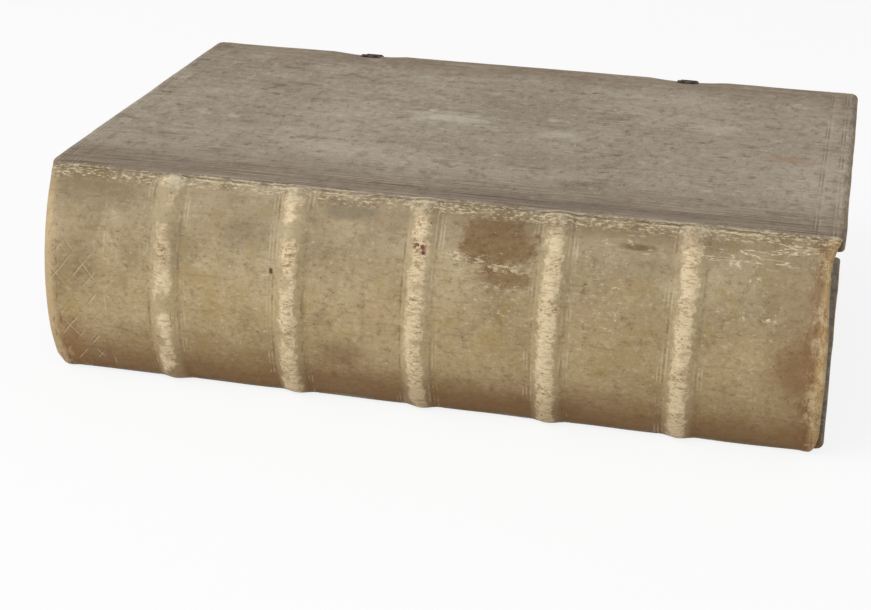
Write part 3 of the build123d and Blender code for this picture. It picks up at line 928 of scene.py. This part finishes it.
rim = calf.ease(shifted(calf.sum("MINIMUM", end_run, fore_run), mottle, 0.0050), 0.0016, 0.0004)
rim = calf.times(rim, calf.ease(calf.plus(smudge, calf.times(y, 0.9)), 0.40, 0.56, 0.25, 0.95))
cover_tone = calf.tint(rim, cover_tone, rim_tone)
cover_tone = spotted(
    cover_tone,
    (-0.020, 0.129, 0.022, 0.011, 0.9, (206, 196, 176), 0.6),
    (0.041, 0.116, 0.013, 0.008, 0.9, (202, 191, 170), 0.5),
    (-0.125, 0.164, 0.006, 0.004, 0.9, (92, 80, 68), 0.6),
    (0.159, 0.108, 0.010, 0.006, 0.9, (160, 122, 86), 0.5),
    (0.120, 0.150, 0.014, 0.010, 0.9, (192, 180, 162), 0.45),
    (-0.060, 0.060, 0.016, 0.010, 0.9, (190, 178, 158), 0.4),
    uneven=2.4,
)

# Back: beige and finely mottled, yellower in the middle; darker and browner below, which is painted shade where the
# back turns under, with a painted brown cast of light bounced up from beneath
wrinkles = calf.cloud((0.012, 0.0018, 0.0018), detail=4, rough=0.65, shift=(7, 1, 1))
olive = calf.cloud((0.011, 0.014, 0.014), detail=5, rough=0.65, shift=(2, 7, 7))
dots = calf.cloud((0.0016, 0.0014, 0.0014), detail=2, shift=(1, 3, 5))
back_tone = calf.layers(
    srgb(160, 142, 110),
    (calf.cloud(0.045, detail=4, shift=(4, 4, 4)), 0.38, 0.62, (180, 162, 129), 1.0),
    (shifted(run, smudge, 0.03), -0.030, -0.070, (170, 144, 96), 0.45),
    (smudge, 0.52, 0.70, (134, 113, 80), 0.45),
    (smudge, 0.42, 0.28, (196, 178, 144), 0.35),
    (fine, 0.52, 0.70, (112, 90, 58), 0.65),
    (fine, 0.46, 0.30, (212, 195, 160), 0.55),
    (wrinkles, 0.54, 0.70, (124, 100, 66), 0.35),
    (wrinkles, 0.40, 0.28, (202, 184, 149), 0.3),
    (mottle, 0.54, 0.72, (116, 90, 54), 0.55),
    (olive, 0.52, 0.66, (158, 134, 80), 0.4),
    (olive, 0.44, 0.32, (166, 138, 108), 0.35),
)
back_tone = calf.layers(back_tone, (dots, 0.66, 0.72, (84, 60, 34), 0.7), within=calf.ease(smudge, 0.46, 0.60))
back_tone = calf.layers(
    back_tone,
    (shifted(run, smudge, 0.024), -0.036, -0.008, (138, 121, 95), 0.45),
    # Painted shade: these two rows darken the back where it turns under, darkest along the underside, and their brown
    # is a painted cast of light bounced from beneath
    (shifted(run, mottle, 0.03), -0.078, -0.110, (106, 66, 14), 0.72),
    (shifted(run, mottle, 0.01), -0.108, -0.118, (74, 54, 32), 0.5),
)

# Bands: crowns rubbed pale and crackled, most of all towards the tail, with painted shade along the crease at each foot
across = calf.plus(x, calf.ease(run, 0.0, -band_lean_run, band_lean[0], 2 * band_lean[1]))
across = calf.sum("WRAP", across, band_pitch / 2, -band_pitch / 2)
off_bands = calf.ease(calf.gap(x), 0.140, 0.150)
on_bands = calf.ease(off_bands, 1.0, 0.0)
band_gap = calf.plus(calf.gap(across), off_bands)
ragged = calf.cloud(0.0055, detail=5, rough=0.7, shift=(6, 6, 1))
threads = calf.cloud((0.0060, 0.0010, 0.0010), detail=4, rough=0.7, shift=(3, 8, 1))
crusted = calf.ease(calf.cloud(0.010, detail=4, rough=0.6, shift=(8, 5, 2)), 0.44, 0.60)
flakes = calf.cloud((0.0046, 0.0017, 0.0017), detail=5, rough=0.72, shift=(9, 3, 3))
splits = calf.cloud((0.0065, 0.0021, 0.0021), detail=3, rough=0.6, shift=(4, 0, 6))
back_tone = calf.layers(back_tone, (shifted(band_gap, mottle, 0.003), 0.0085, 0.0045, (190, 171, 134), 0.28))
core = calf.ease(shifted(shifted(band_gap, ragged, 0.009), fine, 0.005), 0.0050, 0.0028)
kept = calf.plus(calf.cloud(0.016, detail=4, shift=(1, 4, 9)), calf.times(x, 0.8))
core = calf.times(core, calf.ease(kept, 0.34, 0.44))
back_tone = calf.tint(core, back_tone, srgb(222, 202, 165), 0.85)
back_tone = calf.layers(
    back_tone,
    (threads, 0.50, 0.64, (156, 124, 82), 0.6),
    (threads, 0.44, 0.32, (238, 222, 190), 0.5),
    within=core,
)
back_tone = calf.layers(back_tone, (flakes, 0.50, 0.60, (144, 111, 70), 0.75), within=calf.times(core, crusted))
back_tone = calf.layers(back_tone, (calf.gap(splits, 0.5), 0.022, 0.008, (120, 88, 54), 0.55),
                        within=calf.times(core, calf.ease(crusted, 0.0, 1.0, 0.25, 1.0)))
pits = calf.times(calf.ease(calf.cells((0.0034, 0.0026, 0.0026), (1, 7, 2)), 0.22, 0.10),
                  calf.ease(band_gap, 0.0052, 0.0040))
back_tone = calf.layers(back_tone, (smudge, 0.46, 0.56, (84, 58, 34), 0.75), within=pits)
foot = shifted(across, mottle, 0.0010)
pale_lines = near(shifted(band_gap, mottle, 0.0006), (0.0066, 0.0086, 0.0102), 0.0006)
back_tone = worn_away(
    back_tone,
    # Painted shade: thin dark lines along the crease at each band's foot
    (calf.times(near(foot, (-0.0074,), 0.0008), on_bands), 0.012, 0.46, 0.62, (5, 5, 9), (100, 76, 48), 0.5),
    (calf.times(near(foot, (0.0072,), 0.0007), on_bands), 0.012, 0.50, 0.64, (3, 5, 1), (110, 86, 56), 0.4),
    (pale_lines, 0.016, 0.48, 0.64, (2, 6, 2), (206, 190, 157), 0.45),
)

# Stains, scrapes and chips where the old book has them
back_tone = spotted(
    back_tone,
    (0.0345, -0.0205, 0.0190, 0.0118, 0.3, (114, 84, 44), 0.74),
    (0.0390, -0.0365, 0.0135, 0.0052, 0.4, (116, 86, 46), 0.62),
    (-0.170, -0.045, 0.012, 0.022, 0.9, (118, 98, 66), 0.45),
    (-0.120, -0.036, 0.010, 0.014, 0.9, (112, 92, 62), 0.3),
    (-0.085, -0.028, 0.014, 0.009, 0.9, (118, 102, 74), 0.4),
    (-0.0385, -0.085, 0.012, 0.009, 0.7, (108, 78, 42), 0.5),
    (0.098, -0.0165, 0.009, 0.0018, 0.5, (100, 72, 44), 0.7),
    (-0.0368, -0.0126, 0.013, 0.0055, 0.5, (112, 100, 78), 0.6),
    (-0.178, -0.098, 0.009, 0.018, 0.9, (136, 94, 48), 0.55),
    (0.170, -0.066, 0.011, 0.013, 0.8, (124, 90, 50), 0.5),
    (0.168, -0.030, 0.013, 0.014, 0.9, (128, 102, 66), 0.4),
    (0.1745, -0.064, 0.0070, 0.036, 0.8, (110, 72, 34), 0.36),
    (0.030, -0.106, 0.085, 0.012, 0.9, (96, 60, 10), 0.28),
    (0.0010, -0.0290, 0.0007, 0.0008, 0.6, (70, 28, 20), 0.9),
    (-0.0725, -0.0450, 0.0010, 0.0016, 0.5, (58, 42, 28), 0.9),
)
red_spot = spot(-0.0011, -0.0262, 0.0034, 0.0036, 0.6)
back_tone = worn_away(back_tone, (red_spot, 0.0021, 0.42, 0.54, (3, 0, 2), (98, 40, 24), 0.95))
back_tone = calf.layers(back_tone, (fine, 0.46, 0.64, (98, 68, 32), 0.5),
                        within=spot(0.0345, -0.0240, 0.020, 0.016, 0.4))
flecks = calf.cloud((0.0036, 0.0013, 0.0013), detail=5, rough=0.72, shift=(2, 9, 5))
nicks = calf.minus(calf.cloud((0.0026, 0.0012, 0.0012), detail=3, rough=0.6, shift=(6, 3, 3)), 0.11)
chipped = calf.cloud(0.0024, detail=4, rough=0.65, shift=(8, 8, 3))
for *place, pattern, strength in (
    (0.0180, -0.0290, 0.014, 0.0030, flecks, 0.65),
    (0.0400, -0.0325, 0.016, 0.0030, flecks, 0.6),
    (0.0380, -0.0415, 0.014, 0.0022, flecks, 0.5),
    (0.0340, -0.0200, 0.018, 0.0100, nicks, 0.4),
    (0.1425, -0.0214, 0.0030, 0.0034, chipped, 0.95),
    (0.1520, -0.0275, 0.0030, 0.0040, chipped, 0.9),
    (0.1600, -0.0425, 0.0044, 0.0020, chipped, 0.9),
    (0.0850, -0.0450, 0.0120, 0.0320, nicks, 0.8),
    (0.0340, -0.0560, 0.0160, 0.0120, nicks, 0.7),
    (0.1500, -0.0450, 0.0200, 0.0260, nicks, 0.5),
):
    back_tone = calf.layers(back_tone, (pattern, 0.51, 0.60, (224, 208, 174), strength), within=spot(*place, 0.8))

# Hairline cracks by the tail, thin strokes crossed at the head, rubbed caps
head_panel = calf.times(calf.ease(shifted(x, smudge, 0.006), -0.1600, -0.1630),
                        calf.ease(shifted(run, smudge, 0.02), -0.036, -0.050))


def crossed(offset):
    """Mask of slanting strokes crossed at the head."""
    mask = None
    for slope, pitch in ((-1, 0.0092), (1, 0.0184)):
        slant = calf.plus(calf.times(run, 0.8 * slope), calf.plus(x, 1.0 + offset))
        stroke = calf.ease(calf.sum("PINGPONG", shifted(slant, mottle, 0.0012), pitch / 2), 0.0006, 0.0001)
        mask = stroke if mask is None else calf.either(mask, stroke)
    return calf.times(mask, head_panel)


cracks = calf.gap(calf.cloud((0.042, 0.0085, 0.0075), detail=5, rough=0.55, shift=(1, 2, 3)), 0.5)
cracked = calf.times(calf.ease(cracks, 0.012, 0.003), spot(0.138, -0.0115, 0.064, 0.0080, 0.5))
back_tone = worn_away(
    back_tone,
    (cracked, 0.012, 0.32, 0.48, (7, 7, 7), (232, 216, 184), 0.8),
    (crossed(0.0010), 0.010, 0.40, 0.58, (3, 3, 7), (98, 76, 46), 0.4),
    (crossed(0.0), 0.010, 0.40, 0.58, (3, 3, 7), (206, 188, 154), 0.5),
    (near(x, (-0.1565,), 0.0007), 0.02, 0.44, 0.58, (6, 1, 1), (198, 182, 150), 0.45),
)
cap_run = calf.minus(back_half_length, calf.gap(x))
cap_tail = calf.ease(x, 0.0, 0.1)
cap_brown = shifted(cap_run, calf.cloud((0.006, 0.012, 0.012), detail=5), 0.018)
back_tone = calf.layers(back_tone, (cap_brown, 0.0120, 0.0060, (122, 84, 42), 0.6), within=cap_tail)
cap_rim = calf.ease(shifted(cap_run, mottle, 0.004), 0.0058, 0.0030)
cap_tone = calf.tint(cap_tail, srgb(194, 169, 129), srgb(188, 157, 108))
back_tone = calf.tint(cap_rim, back_tone, cap_tone, 0.75)
peeled = calf.times(calf.ease(shifted(cap_run, mottle, 0.008), 0.0090, 0.0060), calf.ease(x, -0.1, 0.1, 0.45, 0.75))
cap_folds = near(shifted(cap_run, mottle, 0.003), (0.0030, 0.0064), 0.0007)
cap_cracks = calf.gap(calf.cloud((0.0035, 0.0085, 0.0085), detail=5, rough=0.62, shift=(9, 1, 4)), 0.5)
cap_cracks = calf.times(calf.ease(cap_cracks, 0.035, 0.008),
                        calf.ease(shifted(cap_run, smudge, 0.01), 0.0150, 0.0060))
cap_cracks = calf.times(cap_cracks, calf.ease(x, -0.1, 0.1, 0.3, 1.0))
back_tone = worn_away(
    back_tone,
    (peeled, 0.010, 0.48, 0.60, (4, 9, 1), (214, 194, 154), 0.6),
    (cap_folds, 0.012, 0.48, 0.60, (2, 2, 5), (112, 74, 38), 0.6),
    (cap_cracks, 0.012, 0.34, 0.48, (8, 2, 2), (112, 74, 36), 0.5),
)

# Joint: the boards' grey runs a little over the shoulder and ends in a rubbed, flecked seam
seam = shifted(shifted(run, calf.cloud(0.03, detail=4), 0.006), fine, 0.005)
on_front = calf.ease(seam, -0.0070, -0.0030)
on_rear = calf.ease(calf.times(seam, -1.0), back_length - 0.0070, back_length - 0.0030)
leather_tone = calf.tint(calf.either(on_front, on_rear), back_tone, cover_tone)
leather_tone = spotted(
    leather_tone,
    (0.085, -0.0085, 0.088, 0.0065, 0.8, (104, 84, 52), 0.45),
    (-0.168, -0.0100, 0.028, 0.0110, 0.8, (108, 88, 58), 0.45),
    (0.075, 0.0060, 0.115, 0.0080, 0.8, (92, 76, 66), 0.4),
)
shoulder = calf.ease(calf.gap(seam, -0.0062), 0.0055, 0.0015)
crease_run = shifted(run, mottle, 0.0024)
knuckles = calf.times(calf.ease(shifted(band_gap, mottle, 0.010), 0.0080, 0.003),
                      calf.ease(calf.gap(seam, -0.0080), 0.006, 0.002))
leather_tone = calf.layers(leather_tone, (smudge, 0.45, 0.58, (116, 94, 62), 0.5), within=shoulder)
leather_tone = worn_away(
    leather_tone,
    (shoulder, (0.0028, 0.0009, 0.0009), 0.50, 0.62, (2, 0, 7), (220, 205, 172), 0.65),
    (near(crease_run, (-0.0044,), 0.0006), 0.03, 0.44, 0.56, (1, 5, 5), (84, 66, 44), 0.4),
    (near(crease_run, (-0.0032, -0.0056), 0.0006), 0.02, 0.46, 0.58, (4, 5, 5), (214, 199, 168), 0.55),
    (knuckles, 0.0045, 0.44, 0.60, (5, 8, 8), (204, 193, 168), 0.55),
)
leather_tone = calf.layers(leather_tone, (grain, 0.56, 0.76, (80, 64, 46), 0.35))

relief = None
for pattern, depth, strength in ((pores, 0.0001, 0.3), (grain, 0.00035, 0.5), (fine, 0.0004, 0.4),
                                 (wrinkles, 0.0003, 0.25)):
    relief = calf.bump(pattern, depth, strength, relief)
old_calf = calf.done(leather_tone, calf.ease(mottle, 0.3, 0.7, 0.5, 0.74), relief)
for skin in (back_skin, spine, front_skin):
    coat(skin, old_calf)


# Clasp straps. Strips of tawed leather let into the back board and nailed there, folded up round the
# fore-edge. The turning part carries the clasp plate.
strap_half_width = 0.015
strap_thickness = 0.0022
strap_fold = Vector((0.0, 0.1246, 0.0014))
strap_length = 0.046
strap_corner = 0.006
strap_rounding = 0.00045
strap_line_inset = 0.0028
strap_line_width = 0.0005
strap_line_depth = 0.00028
strap_wear_depth = 0.00012
strap_inset = 0.0001
strap_fold_height = 0.0015
strap_ends_clear = (0.0012, 0.001)
strap_steps = (0.0022, 0.0025)
anchor_rounding = 0.0004
anchor_step = 0.003
anchor_face = 0.0005
anchor_inset = 0.00015
clasp_lean = math.radians(2.11)

tawed = Finish("tawed_strap", specular=0.25)
x, y, z = tawed.axes()
strap_grain = tawed.cloud((0.0012, 0.0012, 0.0016), detail=4)
strap_wear = tawed.cloud((0.008, 0.008, 0.016), detail=5, rough=0.65)
strap_side = tawed.minus(strap_half_width, tawed.gap(tawed.gap(x), clasp_places[1]))
strap_tone = tawed.layers(
    srgb(158, 116, 72),
    (strap_wear, 0.35, 0.65, (198, 162, 112), 1.0),
    (strap_wear, 0.56, 0.72, (116, 72, 40), 0.7),
    (strap_grain, 0.55, 0.75, (110, 82, 50), 0.35),
    (tawed.gap(strap_side, strap_line_inset), 0.0006, 0.0002, (84, 60, 36), 0.6),
    (strap_side, 0.0012, 0.0, (200, 172, 126), 0.6),
)
tawed_strap = tawed.done(strap_tone, 0.7, tawed.bump(strap_grain, 0.0003, 0.7))


def finish_strap(strap, body, node):
    apply_all(strap)
    bpy.ops.object.shade_smooth_by_angle(angle=math.radians(40))
    coat(strap, tawed_strap)
    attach(strap, body)
    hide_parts(node)


for name, place in zip(("head", "tail"), clasp_places):
    low, top = strap_fold.z - strap_thickness / 2, strap_fold.z + strap_length
    strap = add_box(f"{name}_strap_leather",
                    (place - strap_half_width, strap_fold.y - strap_thickness / 2, low),
                    (place + strap_half_width, strap_fold.y + strap_thickness / 2, top))
    edit(strap)
    pick_edges(strap.data, lambda a, b: abs(a.y - b.y) > 0.001 and a.z > top - 1e-5)
    bpy.ops.mesh.bevel(offset=strap_corner, segments=1)
    pick_edges(strap.data, lambda a, b: abs(a.x - b.x) > 0.02 and a.z < low + 1e-5)
    bpy.ops.mesh.bevel(offset=strap_thickness * 0.49, segments=5)
    pick_edges(strap.data, lambda a, b: max(a.z, b.z) > low + strap_fold_height)
    bpy.ops.mesh.bevel(offset=strap_rounding, segments=2)
    cut_at(spread(place - strap_half_width, place + strap_half_width, strap_steps[0])
           + [place + sign * (strap_half_width - strap_line_inset + shift) for sign in (-1, 1)
              for shift in (-strap_line_width, 0, strap_line_width)], 0)
    cut_at(spread(low + strap_ends_clear[0], top - strap_ends_clear[1], strap_steps[1]), 2)
    leave()
    for vertex in strap.data.vertices:
        x, y, z = vertex.co
        side = strap_half_width - abs(x - place)
        pressed = max(0.0, 1 - abs(side - strap_line_inset) / strap_line_width)
        face = (y - strap_fold.y) / (strap_thickness / 2)
        worn = noise.noise((x * 160, z * 160, 3.0)) * strap_wear_depth
        vertex.co.y -= face * (strap_line_depth * pressed + strap_inset + worn)
    edit(strap)
    bpy.ops.transform.rotate(value=clasp_lean, orient_axis="X", center_override=(place, strap_fold.y, strap_fold.z))
    leave()
    finish_strap(strap, f"{name}_clasp", f"{name}_strap")

    anchor_low, anchor_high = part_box(f"{name}_strap_anchor")
    anchor = add_box(f"{name}_anchor_leather", anchor_low, anchor_high)
    edit(anchor)
    bpy.ops.mesh.bevel(offset=anchor_rounding, segments=2)
    for axis in (0, 1):
        cut_at(spread(anchor_low[axis], anchor_high[axis], anchor_step), axis)
    leave()
    for vertex in anchor.data.vertices:
        if vertex.co.z < anchor_low[2] + anchor_face:
            worn = noise.noise((vertex.co.x * 160, vertex.co.y * 160, 5.0)) * strap_wear_depth
            vertex.co.z += anchor_inset + worn
    finish_strap(anchor, "back_cover", f"{name}_strap_anchor")


# Clasp plates and catch plates. Sheet brass, cut and filed to shape, gone dark brown with age and rubbed
# bright in scratches. Domed rivets with burrs behind hold the plates on the straps, and iron nails the rest.
brass = Finish("dark_brass", specular=0.5, metallic=0.85)
patina = brass.cloud(0.006, detail=6, rough=0.65)
brass_tone = brass.layers(
    srgb(40, 28, 22),
    (patina, 0.35, 0.65, (72, 52, 38), 1.0),
    (brass.cloud((0.0006, 0.012, 0.012), detail=3), 0.64, 0.80, (128, 98, 62), 0.4),
    (patina, 0.64, 0.76, (48, 52, 46), 0.35),
)
dark_brass = brass.done(brass_tone, brass.ease(patina, 0.3, 0.7, 0.34, 0.6), brass.bump(patina, 0.0003, 0.4))
for name in ("head", "tail"):
    for node in ("clasp_plate", "catch_plate"):
        coat(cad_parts[f"{name}_{node}"], dark_brass)

rivet_reach = (0.0977, 0.0412, 0.0297)
rivet_radius = 0.0025
rivet_dome = 0.0014
rivet_cut = -0.25
rivet_unevenness = 0.03
rivet_lift = strap_thickness / 2 + 0.0013
burr_radius = 0.0018
burr_depth = 0.0008
burr_rounding = 0.0002
burr_lift = -strap_thickness / 2 - 0.0002


def on_clasp(place, across, along, out):
    """A point on a closed clasp, across it, along it from the strap's fold, and outwards."""
    return (place + across,
            strap_fold.y + along * math.sin(clasp_lean) + out * math.cos(clasp_lean),
            strap_fold.z + along * math.cos(clasp_lean) - out * math.sin(clasp_lean))


for name, place in zip(("head", "tail"), clasp_places):
    rivets = []
    for reach in rivet_reach:
        deselect()
        bpy.ops.mesh.primitive_uv_sphere_add(segments=20, ring_count=12, radius=1)
        dome = bpy.context.object
        edit(dome)
        bpy.ops.mesh.bisect(plane_co=(0, 0, rivet_cut), plane_no=(0, 0, 1), use_fill=True, clear_inner=True)
        leave()
        for vertex in dome.data.vertices:
            radius = rivet_radius * (1 + rivet_unevenness * noise.noise((vertex.co.x * 2, reach * 90, place)))
            vertex.co = on_clasp(place, vertex.co.x * radius, reach + vertex.co.y * radius,
                                 rivet_lift + vertex.co.z * rivet_dome)
        rivets.append(dome)
    for reach in rivet_reach[1:]:
        deselect()
        bpy.ops.mesh.primitive_cylinder_add(vertices=14, radius=burr_radius, depth=burr_depth)
        burr = bpy.context.object
        edit(burr)
        bpy.ops.mesh.bevel(offset=burr_rounding, segments=2)
        leave()
        for vertex in burr.data.vertices:
            vertex.co = on_clasp(place, vertex.co.x, reach + vertex.co.y, burr_lift + vertex.co.z)
        rivets.append(burr)
    for rivet in rivets:
        face_outwards(rivet)
    rivets = join(rivets, f"{name}_rivet_domes")
    apply_all(rivets)
    bpy.ops.object.shade_smooth_by_angle(angle=math.radians(50))
    coat(rivets, dark_brass)
    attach(rivets, f"{name}_clasp")
    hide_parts(f"{name}_clasp_rivets")

iron = Finish("rusty_iron", specular=0.4, metallic=0.6)
rust = iron.cloud(0.0012, detail=5, rough=0.7)
iron_tone = iron.layers(srgb(56, 50, 46), (rust, 0.40, 0.62, (104, 66, 42), 1.0))
rusty_iron = iron.done(iron_tone, 0.7, iron.bump(rust, 0.0003, 0.6))
for node in ("strap_nails", "catch_nails"):
    coat(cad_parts[node], rusty_iron)


# Floor, light and camera. A plain pale floor that the camera sees as nearly white, a soft lamp over the
# left shoulder, an even room, and the photograph's viewpoint from above the spine.
floor_size = 60
floor_drop = 0.0004
floor_glow = 0.85
room_strength = 0.55
lamp_place = Vector((-0.9, -1.3, 1.5))
lamp_target = Vector((0, 0, 0.05))
lamp_size = 1.4
lamp_power = 26
camera_place = (0.18306, -0.94336, 0.38683)
camera_right = Vector((0.97421, 0.2242, 0.02536))
camera_down = Vector((0.10611, -0.35606, -0.92842))
camera_forward = Vector((-0.19913, 0.90717, -0.37067))

deselect()
bpy.ops.mesh.primitive_plane_add(size=floor_size, location=(0, 0, -floor_drop))
floor = bpy.context.object
floor.name = "floor"
pale = Finish("pale_floor", specular=0.0)
pale.done((0.9, 0.9, 0.9, 1), 0.9)
rays = pale.tree.nodes.new("ShaderNodeLightPath").outputs
seen = pale.either(pale.either(rays["Is Camera Ray"], rays["Is Glossy Ray"]), rays["Is Transmission Ray"])
white = pale.tree.nodes.new("ShaderNodeEmission")
blend = pale.tree.nodes.new("ShaderNodeMixShader")
pale.put(blend.inputs[0], pale.times(seen, floor_glow))
pale.put(blend.inputs[1], pale.shader.outputs[0])
pale.put(blend.inputs[2], white.outputs[0])
pale.put(pale.tree.nodes["Material Output"].inputs["Surface"], blend.outputs[0])
coat(floor, pale.material)

scene = bpy.context.scene
scene.view_settings.view_transform = "Standard"
world = bpy.data.worlds.new("room")
scene.world = world
world.use_nodes = True
world.node_tree.nodes["Background"].inputs["Color"].default_value = (1, 1, 1, 1)
world.node_tree.nodes["Background"].inputs["Strength"].default_value = room_strength

lamp_data = bpy.data.lights.new("key_lamp", "AREA")
lamp_data.shape = "SQUARE"
lamp_data.size = lamp_size
lamp_data.energy = lamp_power
lamp = bpy.data.objects.new("key_lamp", lamp_data)
scene.collection.objects.link(lamp)
lamp.location = lamp_place
lamp.rotation_euler = (lamp_target - lamp_place).to_track_quat("-Z", "Y").to_euler()

camera_data = bpy.data.cameras.new("camera")
camera_data.sensor_width = 36
camera_data.lens = 78.32
camera = bpy.data.objects.new("camera", camera_data)
scene.collection.objects.link(camera)
camera.matrix_world = Matrix.Translation(camera_place) @ Matrix(
    (camera_right, -camera_down, -camera_forward)).transposed().to_4x4()
scene.camera = camera
